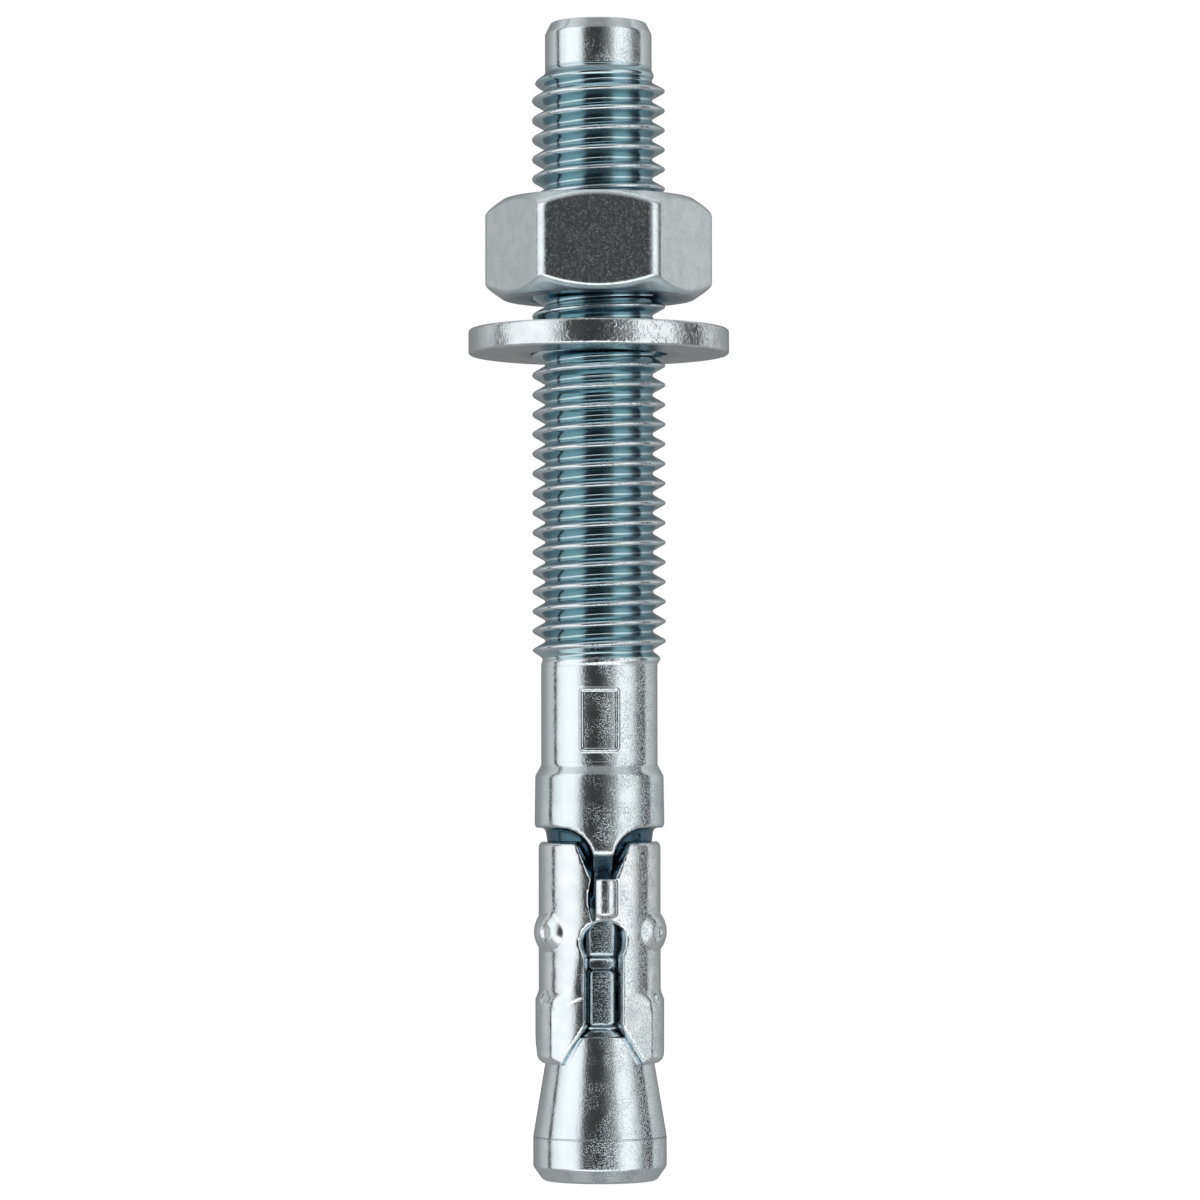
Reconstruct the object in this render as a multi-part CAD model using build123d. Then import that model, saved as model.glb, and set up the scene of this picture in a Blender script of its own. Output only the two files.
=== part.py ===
"""Wedge anchor: bolt with expander cone, rolled expansion sleeve, washer and hex nut.

Millimetres, +Z up. The bolt stands on its flat end at the origin, and its axis is Z.
The front is -Y: there the shank carries its raised frame and the sleeve its seam.
"""
from build123d import *
from math import cos, radians, sqrt, tan
import os

# ---------------------------------------------------------------- driving sizes
# Bolt, from the flat end upwards
end_flat_radius = 5.02
end_chamfer_height = 1.25
end_blend = 1.4
land_radius = 5.91
land_length = 2.62
cone_length = 8.9
cone_small_radius = 4.43
groove_length = 1.02
neck_radius = 3.95
neck_length = 18.33
neck_throat_radius = 4.62
neck_throat_length = 1.35
neck_taper_length = 1.6
neck_top_radius = 4.8

# Keys on the neck: a pad in each slot, a low rib under each web, a tongue in the front notch
key_turn = 2.4
pad_length = 4.85
pad_radius = 4.75
pad_width = 2.15
pad_corner = 0.3
rib_gap = 1.2
rib_radius = 4.32
rib_width = 2.45
tongue_length = 2.2
tongue_width = 1.74
tongue_sweep = 2.9
tongue_slope_length = 1.8

# Collar, shank, thread and nose
collar_low_radius = 5.75
collar_top_radius = 5.69
collar_length = 4.6
collar_chamfer_height = 0.95
collar_edge = 0.15
shank_radius = 5.16
shank_length = 9.3
thread_radius = 5.915
thread_length = 53.35
thread_run_out = 0.75
thread_point_height = 2.6
nose_radius = 4.755
nose_length = 3.4
nose_chamfer_width = 0.5
nose_chamfer_height = 1.0

# Raised frame on the shank
frame_width = 3.7
frame_height = 5.85
frame_rim = 0.4
frame_corner = 0.5
frame_proud = 0.12
frame_rise = 1.06

# Expansion sleeve
slot_count = 3
index_turn = 3.5
sleeve_length = 19.6
sleeve_overlap = 2.47
sleeve_radius = 5.4
sleeve_bore_radius = 4.42
sleeve_mouth_depth = 1.9
sleeve_lip = 0.3
foot_radius = 5.71
foot_height = 5.65
foot_ramp_height = 0.8
foot_edge = 0.8
notch_top_width = 4.9
notch_floor_width = 2.4
notch_depth = 3.2
notch_floor_round = 0.8
notch_top_round = 0.8
web_height = 3.37
eye_width = 4.34
eye_height = 3.86
eye_throat_round = 1.2
slot_width = 3.6
slot_round = 0.6
flare_width = 7.6
flare_height = 3.35
flare_round = 0.6
edge_lean = 0.6
edge_lean_limit = 0.9
seam_offset = 0.7
seam_bulge = 0.6
seam_gap = 0.24

# Pressed features of the sleeve
web_pad_radius = 1.15
web_pad_proud = 0.5
web_pad_length = 3.4
web_pad_end = 0.2
front_pad_turn = 2.8
bump_height = 3.4
bump_proud = 0.66
bump_spread = 5.0
bump_turn = 7.0
bump_rise = 11.65
pit_radius = 0.75
pit_floor_radius = 0.5
pit_depth = 0.25
pit_turn = 3.0
dimple_radius = 0.7
dimple_depth = 0.18
dimple_rise = 5.95
dimple_turn = 1.3
panel_distance = 5.43
panel_step = 0.07
panel_turn = 30.0
panel_slant = 22.0
panel_height = 5.65

# Washer
washer_radius = 11.6
washer_bore_radius = 6.1
washer_thickness = 2.25
washer_edge = 0.2

# Hex nut
nut_across_flats = 17.85
nut_height = 8.85
nut_corner_round = 0.7
nut_chamfer_radius = 8.5
nut_chamfer_angle = 35.0
nut_countersink = 0.45
nut_depth = 15.8
nut_gap = 2.7

# Clearances between pieces
thread_clearance = 0.05
cone_clearance = 0.05

# ---------------------------------------------------------------- worked-out places
land_base = end_chamfer_height
land_top = land_base + land_length
cone_top = land_top + cone_length
pad_base = cone_top + groove_length
pad_top = pad_base + pad_length
rib_base = pad_top + rib_gap
collar_base = cone_top + neck_length
tongue_tip = collar_base - tongue_length
tongue_foot = tongue_tip - tongue_slope_length
collar_shoulder = collar_base + collar_length
collar_top = collar_shoulder + collar_chamfer_height
thread_base = collar_top + shank_length
thread_top = thread_base + thread_length
nose_top = thread_top + nose_length
cone_slope = (land_radius - cone_small_radius) / cone_length

sleeve_base = cone_top - sleeve_overlap
sleeve_top = sleeve_base + sleeve_length
foot_top = sleeve_base + foot_height
notch_floor = sleeve_top - notch_depth
web_base = notch_floor - web_height
eye_centre = web_base - eye_height / 2
slot_angles = [index_turn + 360 / slot_count * n for n in range(slot_count)]

nut_base = nose_top - nut_depth - nut_height
washer_base = nut_base - nut_gap - washer_thickness


# ---------------------------------------------------------------- helpers
def outline(*points):
    """A closed face from corner points, drawn on the plane it is placed on."""
    return make_face(Polyline(*points, close=True))


def rounded(face, radius, *corners):
    """The face with the named corners rounded to one radius."""
    spots = [Vector(*corner) for corner in corners]
    chosen = [min(face.vertices(), key=lambda v: (Vector(v) - spot).length) for spot in spots]
    return fillet(chosen, radius)


def turned(face):
    """A solid of revolution about Z from a face drawn as (radius, height)."""
    return revolve(Plane.XZ * face, Axis.Z)


def front_plane(depth):
    """The upright plane at a depth in front of the axis, drawn on as (x, height)."""
    return Plane(origin=(0, -depth, 0), x_dir=(1, 0, 0), z_dir=(0, -1, 0))


def facing(angle):
    """Turns what was made at the front round the axis, towards +X for a positive angle."""
    return Rot(0, 0, angle)


def all_slots(shape):
    """The shape made at the front, repeated at each slot."""
    return [facing(angle) * shape for angle in slot_angles]


# ---------------------------------------------------------------- anchor bolt
def bolt_blank():
    """The round part of the bolt, from the flat end to the nose."""
    throat = collar_base - neck_throat_length
    taper_foot = throat - neck_taper_length
    thread_full = thread_base + thread_run_out
    thread_point = thread_top - thread_point_height
    nose_chamfer = nose_top - nose_chamfer_height
    face = outline(
        (0, 0),
        (end_flat_radius, 0),
        (land_radius, land_base),
        (land_radius, land_top),
        (cone_small_radius, cone_top),
        (neck_radius, cone_top),
        (neck_radius, taper_foot),
        (neck_throat_radius, throat),
        (neck_top_radius, collar_base),
        (collar_low_radius - collar_edge, collar_base),
        (collar_low_radius, collar_base + collar_edge),
        (collar_top_radius, collar_shoulder),
        (shank_radius, collar_top),
        (shank_radius, thread_base),
        (thread_radius, thread_full),
        (thread_radius, thread_point),
        (nose_radius, thread_top),
        (nose_radius, nose_chamfer),
        (nose_radius - nose_chamfer_width, nose_top),
        (0, nose_top),
    )
    face = rounded(face, end_blend, (land_radius, land_base))
    return turned(face)


def neck_key():
    """The low rib under a web and the pad in the slot below it, at the front."""
    rib_top = (web_base + notch_floor) / 2
    rib = Pos(0, (rib_base + rib_top) / 2) * Rectangle(rib_width, rib_top - rib_base)
    pad = Pos(0, (pad_base + pad_top) / 2) * RectangleRounded(pad_width, pad_length, pad_corner)
    envelope = turned(
        outline(
            (0, pad_base),
            (pad_radius, pad_base),
            (pad_radius, pad_top),
            (rib_radius, pad_top),
            (rib_radius, rib_top),
            (0, rib_top),
        )
    )
    return extrude(front_plane(0) * (rib + pad), 2 * pad_radius) & envelope


def collar_tongue():
    """The tongue that reaches down from the collar into the front notch, swept out at its root."""
    half = tongue_width / 2
    reach = half + tongue_sweep + collar_edge
    foot = (web_base + notch_floor) / 2
    top = collar_base + collar_edge
    plan = outline(
        (-reach, top),
        (-reach, collar_base),
        (-half, collar_base),
        (-half, foot),
        (half, foot),
        (half, collar_base),
        (reach, collar_base),
        (reach, top),
    )
    plan = rounded(plan, tongue_sweep, (-half, collar_base), (half, collar_base))
    envelope = turned(
        outline(
            (0, foot),
            (rib_radius, foot),
            (rib_radius, tongue_foot),
            (collar_low_radius, tongue_tip),
            (collar_low_radius, top),
            (0, top),
        )
    )
    return extrude(front_plane(0) * plan, 2 * collar_low_radius) & envelope


def shank_frame():
    """The raised rim of the blank frame on the front of the shank."""
    centre = collar_top + frame_rise + frame_height / 2
    inner = RectangleRounded(
        frame_width - 2 * frame_rim, frame_height - 2 * frame_rim, frame_corner / 2
    )
    rim = RectangleRounded(frame_width, frame_height, frame_corner) - inner
    band = Cylinder(shank_radius + frame_proud, frame_height, align=(Align.CENTER,) * 3)
    return extrude(front_plane(0) * Pos(0, centre) * rim, 2 * shank_radius) & Pos(0, 0, centre) * band


def anchor_bolt():
    """The whole bolt, one piece."""
    bolt = bolt_blank() + shank_frame() + facing(index_turn) * collar_tongue()
    for key in all_slots(facing(key_turn - index_turn) * neck_key()):
        bolt += key
    return bolt


# ---------------------------------------------------------------- expansion sleeve
def sleeve_bore():
    """What the sleeve is hollowed by: bore, mouth and the seat on the cone."""
    spare = 1.0
    seat_radius = land_radius - cone_slope * (sleeve_base - land_top) + cone_clearance
    seat_height = (seat_radius - sleeve_bore_radius) / cone_slope
    return turned(
        outline(
            (0, sleeve_base - spare),
            (seat_radius + cone_slope * spare, sleeve_base - spare),
            (sleeve_bore_radius, sleeve_base + seat_height),
            (sleeve_bore_radius, sleeve_top - sleeve_mouth_depth),
            (neck_top_radius, sleeve_top),
            (neck_top_radius, sleeve_top + spare),
            (0, sleeve_top + spare),
        )
    )


def sleeve_skin():
    """The sleeve's outside, with its stepped foot, before anything is cut."""
    face = outline(
        (0, sleeve_base),
        (foot_radius, sleeve_base),
        (foot_radius, foot_top),
        (sleeve_radius, foot_top + foot_ramp_height),
        (sleeve_radius, sleeve_top - sleeve_lip),
        (sleeve_radius - sleeve_lip, sleeve_top),
        (0, sleeve_top),
    )
    face = rounded(face, foot_edge, (foot_radius, sleeve_base))
    return turned(face)


def leaned(half, depth):
    """Half a slot's width at a depth: the edges lean in from the skin but never meet."""
    lean = edge_lean * (sqrt(sleeve_radius**2 - half**2) - depth)
    return half - min(lean, edge_lean_limit * half)


def notch_section(depth):
    """The V notch, drawn on the plane at one depth."""
    wide = leaned(notch_top_width / 2, depth)
    narrow = leaned(notch_floor_width / 2, depth)
    spare = 1.0
    reach = wide + notch_top_round + spare
    face = outline(
        (-reach, sleeve_top + spare),
        (-reach, sleeve_top),
        (-wide, sleeve_top),
        (-narrow, notch_floor),
        (narrow, notch_floor),
        (wide, sleeve_top),
        (reach, sleeve_top),
        (reach, sleeve_top + spare),
    )
    bend = min(notch_floor_round, 0.9 * narrow)
    face = rounded(face, bend, (-narrow, notch_floor), (narrow, notch_floor))
    face = rounded(face, notch_top_round, (-wide, sleeve_top), (wide, sleeve_top))
    return front_plane(depth) * face


def keyhole_section(depth):
    """The keyhole slot, drawn on the plane at one depth."""
    slot = leaned(slot_width / 2, depth)
    flare = leaned(flare_width / 2, depth)
    eye = leaned(eye_width / 2, depth)
    flare_top = sleeve_base + flare_height
    spare = 1.0
    reach = flare + flare_round + spare
    face = outline(
        (-reach, sleeve_base - spare),
        (-reach, sleeve_base),
        (-flare, sleeve_base),
        (-slot, flare_top),
        (-slot, eye_centre),
        (slot, eye_centre),
        (slot, flare_top),
        (flare, sleeve_base),
        (reach, sleeve_base),
        (reach, sleeve_base - spare),
    )
    face += Pos(0, eye_centre) * Ellipse(eye, eye_height / 2)
    throat = eye_centre - eye_height / 2 * sqrt(1 - (slot / eye) ** 2)
    face = rounded(face, eye_throat_round, (-slot, throat), (slot, throat))
    face = rounded(face, slot_round, (-slot, flare_top), (slot, flare_top))
    face = rounded(face, flare_round, (-flare, sleeve_base), (flare, sleeve_base))
    return front_plane(depth) * face


def slot_cutters(section):
    """A slot's cutter, narrower inside than outside, at every slot."""
    spare = 1.0
    outside = section(foot_radius + spare)
    inside = section(sleeve_bore_radius - spare)
    return all_slots(loft([outside, inside], ruled=True))


def seam_cutter():
    """The open seam in the front web: a straight edge facing a bowed one."""
    low = web_base - eye_height / 4
    high = notch_floor + notch_floor_round
    middle = (low + high) / 2
    bow = ThreePointArc((0, high), (-seam_bulge, middle), (0, low))
    lens = make_face(bow + Line((0, low), (0, high)))
    gap = Pos(-seam_gap / 2, middle) * Rectangle(seam_gap, high - low)
    plan = front_plane(neck_radius) * Pos(-seam_offset, 0) * (lens + gap)
    return facing(index_turn) * extrude(plan, foot_radius)


def web_pad(angle):
    """The raised upright pad on one web."""
    pad = Cylinder(web_pad_radius, web_pad_length, align=(Align.CENTER,) * 3)
    pad = chamfer(pad.edges().filter_by(GeomType.CIRCLE), web_pad_end)
    place = Pos(0, -(sleeve_radius + web_pad_proud - web_pad_radius), (notch_floor + web_base) / 2)
    return facing(angle) * place * pad


def bump(angle):
    """A dome drawn out a little way round the skin, on its ball's centre line."""
    ball_radius = (bump_height**2 / 4 + bump_proud**2) / (2 * bump_proud)
    reach = sleeve_radius + bump_proud - ball_radius
    shape = facing(-bump_spread - 90) * Torus(reach, ball_radius, major_angle=2 * bump_spread)
    for end in (-bump_spread, bump_spread):
        shape += facing(end) * Pos(0, -reach, 0) * Sphere(ball_radius)
    return facing(angle) * Pos(0, 0, sleeve_base + bump_rise) * shape


def pit(angle):
    """The round punch mark in one bump."""
    tool = Cone(
        pit_floor_radius,
        2 * pit_radius - pit_floor_radius,
        2 * pit_depth,
        align=(Align.CENTER, Align.CENTER, Align.MIN),
    )
    floor = sleeve_radius + bump_proud - pit_depth
    placed = front_plane(floor) * Pos(0, sleeve_base + bump_rise) * tool
    return facing(angle) * placed


def dimple(angle):
    """The small hollow on the ramp of the foot, below a bump."""
    drop = (foot_top + foot_ramp_height - sleeve_base - dimple_rise) / foot_ramp_height
    skin = sleeve_radius + (foot_radius - sleeve_radius) * drop
    depth = skin - dimple_depth + dimple_radius
    return facing(angle) * Pos(0, -depth, sleeve_base + dimple_rise) * Sphere(dimple_radius)


def flat(side):
    """One flat beside the front slot, with a shallow step along its slanted top."""
    reach = foot_radius
    low = sleeve_base - foot_edge
    top = foot_top + foot_ramp_height
    middle = sleeve_base + panel_height
    drop = side * reach * tan(radians(panel_slant))
    upper = outline((-reach, low), (reach, low), (reach, top), (-reach, top))
    lower = outline((-reach, low), (reach, low), (reach, middle - drop), (-reach, middle + drop))
    cutter = extrude(front_plane(panel_distance) * upper, reach)
    cutter += extrude(front_plane(panel_distance - panel_step) * lower, reach)
    return facing(index_turn + side * panel_turn) * cutter


def segment_angles(turn):
    """Mid-segment angles; those beside the front slot are turned away from it."""
    step = 360 / slot_count
    last = slot_count - 1
    shares = [(last - 2 * n) / last for n in range(slot_count)]
    return [index_turn + step * (n + 0.5) + turn * shares[n] for n in range(slot_count)]


def expansion_sleeve():
    """The rolled sleeve, one piece."""
    sleeve = sleeve_skin()
    for angle in segment_angles(bump_turn):
        sleeve += bump(angle)
    for n, angle in enumerate(slot_angles):
        sleeve += web_pad(angle + front_pad_turn if n == 0 else angle)
    cutters = [pit(angle) for angle in segment_angles(-pit_turn)]
    cutters += [dimple(angle) for angle in segment_angles(-dimple_turn)]
    cutters += [flat(side) for side in (-1, 1)]
    cutters += slot_cutters(notch_section) + slot_cutters(keyhole_section)
    cutters += [seam_cutter(), sleeve_bore()]
    for cutter in cutters:
        sleeve -= cutter
    return sleeve


# ---------------------------------------------------------------- washer and nut
def washer():
    """The flat washer."""
    inner = washer_bore_radius
    top = washer_base + washer_thickness
    face = outline(
        (inner, washer_base),
        (washer_radius - washer_edge, washer_base),
        (washer_radius, washer_base + washer_edge),
        (washer_radius, top - washer_edge),
        (washer_radius - washer_edge, top),
        (inner, top),
    )
    return turned(face)


def hex_nut():
    """The hexagon nut, chamfered at both ends, with a plain bore at thread size."""
    flat = nut_across_flats / 2
    corner = flat / cos(radians(30))
    drop = (corner - nut_chamfer_radius) * tan(radians(nut_chamfer_angle))
    hexagon = RegularPolygon(flat, 6, major_radius=False)
    body = extrude(fillet(hexagon.vertices(), nut_corner_round), nut_height)
    body &= turned(
        outline(
            (0, 0),
            (nut_chamfer_radius, 0),
            (corner, drop),
            (corner, nut_height - drop),
            (nut_chamfer_radius, nut_height),
            (0, nut_height),
        )
    )
    bore = thread_radius + thread_clearance
    body -= turned(
        outline(
            (0, 0),
            (bore + nut_countersink, 0),
            (bore, nut_countersink),
            (bore, nut_height - nut_countersink),
            (bore + nut_countersink, nut_height),
            (0, nut_height),
        )
    )
    return Pos(0, 0, nut_base) * body


nodes = {
    "anchor_bolt": anchor_bolt,
    "expansion_sleeve": expansion_sleeve,
    "washer": washer,
    "hex_nut": hex_nut,
}

os.makedirs("parts", exist_ok=True)
for name, build in nodes.items():
    export_step(build(), f"parts/{name}.step")
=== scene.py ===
# %% [markdown]
# # A wedge anchor in bright zinc
#
# A wedge anchor is a threaded steel stud for drilled concrete. Its lower end widens
# into a cone, and a thin rolled sleeve sits loose on the neck above the cone. When the
# nut is tightened, the cone is drawn up into the sleeve and spreads it against the hole.
#
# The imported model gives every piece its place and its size. This script turns it into
# plated metal: a true thread, edges softened by the plating barrel, a scratched zinc
# skin, and a light tent such as a studio puts round shiny hardware.

# %% Load the frame
import math
import bmesh
import bpy
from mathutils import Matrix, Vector


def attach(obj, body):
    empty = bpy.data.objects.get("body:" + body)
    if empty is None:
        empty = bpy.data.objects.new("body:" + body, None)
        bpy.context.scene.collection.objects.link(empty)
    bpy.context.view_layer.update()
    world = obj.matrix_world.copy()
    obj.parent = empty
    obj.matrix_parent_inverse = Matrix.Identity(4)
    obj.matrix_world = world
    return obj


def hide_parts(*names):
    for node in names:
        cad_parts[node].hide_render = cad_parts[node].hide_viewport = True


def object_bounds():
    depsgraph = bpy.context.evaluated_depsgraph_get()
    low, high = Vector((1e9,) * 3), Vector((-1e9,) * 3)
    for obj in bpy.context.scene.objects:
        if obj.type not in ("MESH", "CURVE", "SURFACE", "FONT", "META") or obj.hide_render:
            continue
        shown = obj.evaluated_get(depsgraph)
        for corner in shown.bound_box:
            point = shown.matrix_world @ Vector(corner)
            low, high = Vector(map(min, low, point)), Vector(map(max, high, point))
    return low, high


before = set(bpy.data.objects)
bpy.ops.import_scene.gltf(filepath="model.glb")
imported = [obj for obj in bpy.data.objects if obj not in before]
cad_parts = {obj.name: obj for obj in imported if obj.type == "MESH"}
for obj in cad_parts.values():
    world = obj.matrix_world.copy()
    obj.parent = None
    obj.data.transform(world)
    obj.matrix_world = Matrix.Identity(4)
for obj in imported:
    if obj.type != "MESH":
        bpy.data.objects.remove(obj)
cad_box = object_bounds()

scene = bpy.context.scene
scene.view_settings.view_transform = "Standard"
mm = 0.001
print("nodes:", sorted(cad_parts))

# %% [markdown]
# ## The camera
#
# The anchor stands upright and is seen almost level through a long lens, so that its
# sides stay parallel. The camera stands 430 mm in front of the axis, a third of the way
# up, and looks up by two degrees, which shows the washer's underside a little. A tenth
# of a degree of roll is what a hand on a tripod leaves.

# %% Camera
frame_pixels = 1200
focal_pixels = 4846
camera_side = 0.05 * mm
camera_distance = 430 * mm
camera_height = 35.3 * mm
camera_pitch = math.radians(2.13)
camera_roll = math.radians(0.09)

lens = bpy.data.cameras.new("camera")
lens.sensor_width = 36
lens.lens = focal_pixels / frame_pixels * lens.sensor_width
lens.clip_start = 0.01
camera = bpy.data.objects.new("camera", lens)
scene.collection.objects.link(camera)
camera.location = (camera_side, -camera_distance, camera_height)
camera.rotation_euler = (math.pi / 2 + camera_pitch, camera_roll, 0)
scene.camera = camera
print("lens:", round(lens.lens, 2), "mm")


# %% [markdown]
# ## Helpers for node trees
#
# Shaders and Geometry Nodes are both trees of nodes. One small function adds a node,
# sets its properties, fills its sockets and links it to the nodes before it. Colours
# are written as sRGB hex values, as in any paint program, and one function turns them
# into the linear values that Blender works in.

# %% Node and colour helpers
def add(tree, kind, sockets=None, **settings):
    """A node: settings are its properties, sockets are values, or nodes to link from."""
    node = tree.nodes.new(kind)
    for name, value in settings.items():
        setattr(node, name, value)
    for key, value in (sockets or {}).items():
        if isinstance(value, bpy.types.Node):
            value = value.outputs[0]
        if isinstance(value, bpy.types.NodeSocket):
            tree.links.new(value, node.inputs[key])
        else:
            node.inputs[key].default_value = value
    return node


def colour(code):
    """Linear RGBA from an sRGB hex code."""
    parts = [int(code[i : i + 2], 16) / 255 for i in (1, 3, 5)]
    return [((c + 0.055) / 1.055) ** 2.4 if c > 0.04045 else c / 12.92 for c in parts] + [1]


def empty_tree(owner):
    """The cleared node tree of a material or world."""
    owner.use_nodes = True
    owner.node_tree.nodes.clear()
    return owner.node_tree


maths = "ShaderNodeMath"
spread = "ShaderNodeMapRange"
print("mid grey is", [round(c, 3) for c in colour("#808080")])

# %% [markdown]
# ## The white room
#
# The world is plain white at strength 1 wherever it is seen, straight, in metal or
# through glass. Its light is a little weaker than that, so that pale things near it
# keep their colour.

# %% World
room_light = 0.8
room_seen = 1.0
world = bpy.data.worlds.new("white_room")
scene.world = world
room = empty_tree(world)
rays = add(room, "ShaderNodeLightPath").outputs
seen = {0: rays["Is Camera Ray"], 1: rays["Is Glossy Ray"]}
seen = add(room, maths, seen, operation="MAXIMUM")
seen = add(room, maths, {0: seen, 1: rays["Is Transmission Ray"]}, operation="MAXIMUM")
strength = add(room, spread, {"Value": seen, "To Min": room_light, "To Max": room_seen})
white = add(room, "ShaderNodeBackground", {"Color": colour("#ffffff"), "Strength": strength})
add(room, "ShaderNodeOutputWorld", {"Surface": white})
print("world:", world.name, "lights at", room_light)

# %% [markdown]
# ## The light tent
#
# Polished metal has hardly any colour of its own: it shows the room. A studio
# stands such hardware in a tent of cloth, with a soft box at each side and dark card
# round the lens, so that every round piece gets the same run of light and dark bands.
# The tent here is a ball round the anchor, which the camera doesn't see. Its brightness
# follows the compass through a colour ramp. High up it fades into a roof that is grey in
# front and light behind. Low down it fades into the table, which shines in front, where
# the light falls, and is grey behind.

# %% Tent sizes
tent_radius = 900 * mm
tent_height = 50 * mm
tent_bands = [
    (-180, 0.22),
    (-156, 0.27),
    (-132, 0.36),
    (-118, 0.54),
    (-103, 0.66),
    (-99, 0.04),
    (-95, 0.04),
    (-92, 0.85),
    (-84, 1.02),
    (-66, 1.20),
    (-46, 1.15),
    (-38, 0.90),
    (-33, 0.45),
    (-28, 0.09),
    (-12, 0.05),
    (4, 0.05),
    (13, 0.15),
    (24, 0.24),
    (31, 0.55),
    (37, 1.05),
    (48, 1.18),
    (62, 1.10),
    (72, 0.70),
    (80, 0.22),
    (94, 0.08),
    (101, 0.10),
    (106, 0.80),
    (114, 0.70),
    (126, 0.54),
    (146, 0.35),
    (162, 0.26),
    (180, 0.22),
]
print("tent bands:", len(tent_bands))

# %% [markdown]
# The roof and the table have a level in front and one behind. Where each fades in, going
# up or down, and where its front turns into its back, are places in metres from the
# middle of the ball.

# %% Roof and table
roof_front = 0.32
roof_back = 0.85
roof_rise = (0.5, 0.85)
roof_turn = (-0.4, 0.2)
table_front = 1.7
table_back = 0.34
table_drop = (-0.16, -0.4)
table_turn = (-0.65, -0.35)
table_share = 0.85
print("roof:", roof_front, "to", roof_back, "table:", table_front, "to", table_back)


# %% Tent
def tent_cloth(bands):
    """An emission that follows the direction, in degrees from the front towards +X."""
    material = bpy.data.materials.new("tent_cloth")
    tree = empty_tree(material)
    place = add(tree, "ShaderNodeTexCoord").outputs["Object"]
    across, along, up = add(tree, "ShaderNodeSeparateXYZ", {0: place}).outputs
    front = add(tree, maths, {0: along, 1: -1.0}, operation="MULTIPLY")
    turn = add(tree, maths, {0: across, 1: front}, operation="ARCTAN2")
    share = add(tree, spread, {"Value": turn, "From Min": -math.pi, "From Max": math.pi})
    ramp = add(tree, "ShaderNodeValToRGB", {"Fac": share})
    stops = ramp.color_ramp.elements
    while len(stops) < len(bands):
        stops.new(1.0)
    for stop, (direction, level) in zip(stops, bands):
        stop.position = 0.5 + direction / 360
        stop.color = (level, level, level, 1)
    high = {"Value": up, "From Min": roof_rise[0], "From Max": roof_rise[1]}
    high = add(tree, spread, high, interpolation_type="SMOOTHSTEP")
    low = {"Value": up, "From Min": table_drop[0], "From Max": table_drop[1]}
    low |= {"To Max": table_share}
    low = add(tree, spread, low, interpolation_type="SMOOTHSTEP")
    roof = {"Value": along, "From Min": roof_turn[0], "From Max": roof_turn[1]}
    roof = add(tree, spread, roof | {"To Min": roof_front, "To Max": roof_back})
    roofed = add(tree, "ShaderNodeMix", {0: high, 2: ramp, 3: roof})
    table = {"Value": along, "From Min": table_turn[0], "From Max": table_turn[1]}
    table = add(tree, spread, table | {"To Min": table_front, "To Max": table_back})
    whole = add(tree, "ShaderNodeMix", {0: low, 2: roofed, 3: table})
    glow = add(tree, "ShaderNodeEmission", {"Strength": whole})
    add(tree, "ShaderNodeOutputMaterial", {"Surface": glow})
    return material


ball = bmesh.new()
bmesh.ops.create_uvsphere(ball, u_segments=48, v_segments=24, radius=tent_radius)
tent_mesh = bpy.data.meshes.new("tent")
ball.to_mesh(tent_mesh)
ball.free()
tent = bpy.data.objects.new("tent", tent_mesh)
tent.location.z = tent_height
scene.collection.objects.link(tent)
tent_mesh.materials.append(tent_cloth(tent_bands))
tent.visible_camera = False
print("tent faces:", len(tent_mesh.polygons))

# %% [markdown]
# ## The floor
#
# The floor is a plain white disc. Seen by the camera it adds a little light of its own,
# so that it runs into the white room without an edge, and where the anchor shades it,
# it still turns grey.

# %% Floor
floor_radius = 350 * mm
floor_glow = 0.66
disc = bmesh.new()
bmesh.ops.create_circle(disc, cap_ends=True, segments=96, radius=floor_radius)
floor_mesh = bpy.data.meshes.new("floor")
disc.to_mesh(floor_mesh)
disc.free()
floor = bpy.data.objects.new("floor", floor_mesh)
scene.collection.objects.link(floor)
paper = bpy.data.materials.new("white_paper")
tree = empty_tree(paper)
rays = add(tree, "ShaderNodeLightPath").outputs
lift = add(tree, maths, {0: rays["Is Camera Ray"], 1: floor_glow}, operation="MULTIPLY")
sheet = add(tree, "ShaderNodeBsdfDiffuse", {"Color": colour("#f4f4f4")})
glow = add(tree, "ShaderNodeEmission", {"Strength": lift})
both = add(tree, "ShaderNodeAddShader", {0: sheet, 1: glow})
add(tree, "ShaderNodeOutputMaterial", {"Surface": both})
floor_mesh.materials.append(paper)
floor.visible_glossy = False
print("floor radius:", round(floor_radius / mm), "mm")

# %% [markdown]
# ## Zinc
#
# Bright zinc plate is a skin of fine crystals, a few thousandths of a millimetre thick.
# It mirrors the room, but here and there a crystal or a pit tips the mirror, which
# scatters light specks over dark reflections and dark ones over light. Knocks in the
# plating barrel add short curved scratches. A blue passivate dip leaves a faint blue
# film, and where light bounces several times, as between thread flanks, that blue adds
# up to teal.
#
# The colour also carries painted shade. It follows the distance from the axis: from a
# radius inwards, in the recesses, the blue film turns deeper and darker, and a ramp of
# colours up the piece says how deep it is there. Faces that look up, such as the upper
# flank of each thread ridge, get a darker painted shade as well.

# %% Passivate film and painted shade in the recesses
anchor_height = cad_box[1][2]
thread_foot = (45 * mm, 46 * mm)
upward_shade_slopes = (0.2, 0.8)


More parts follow.
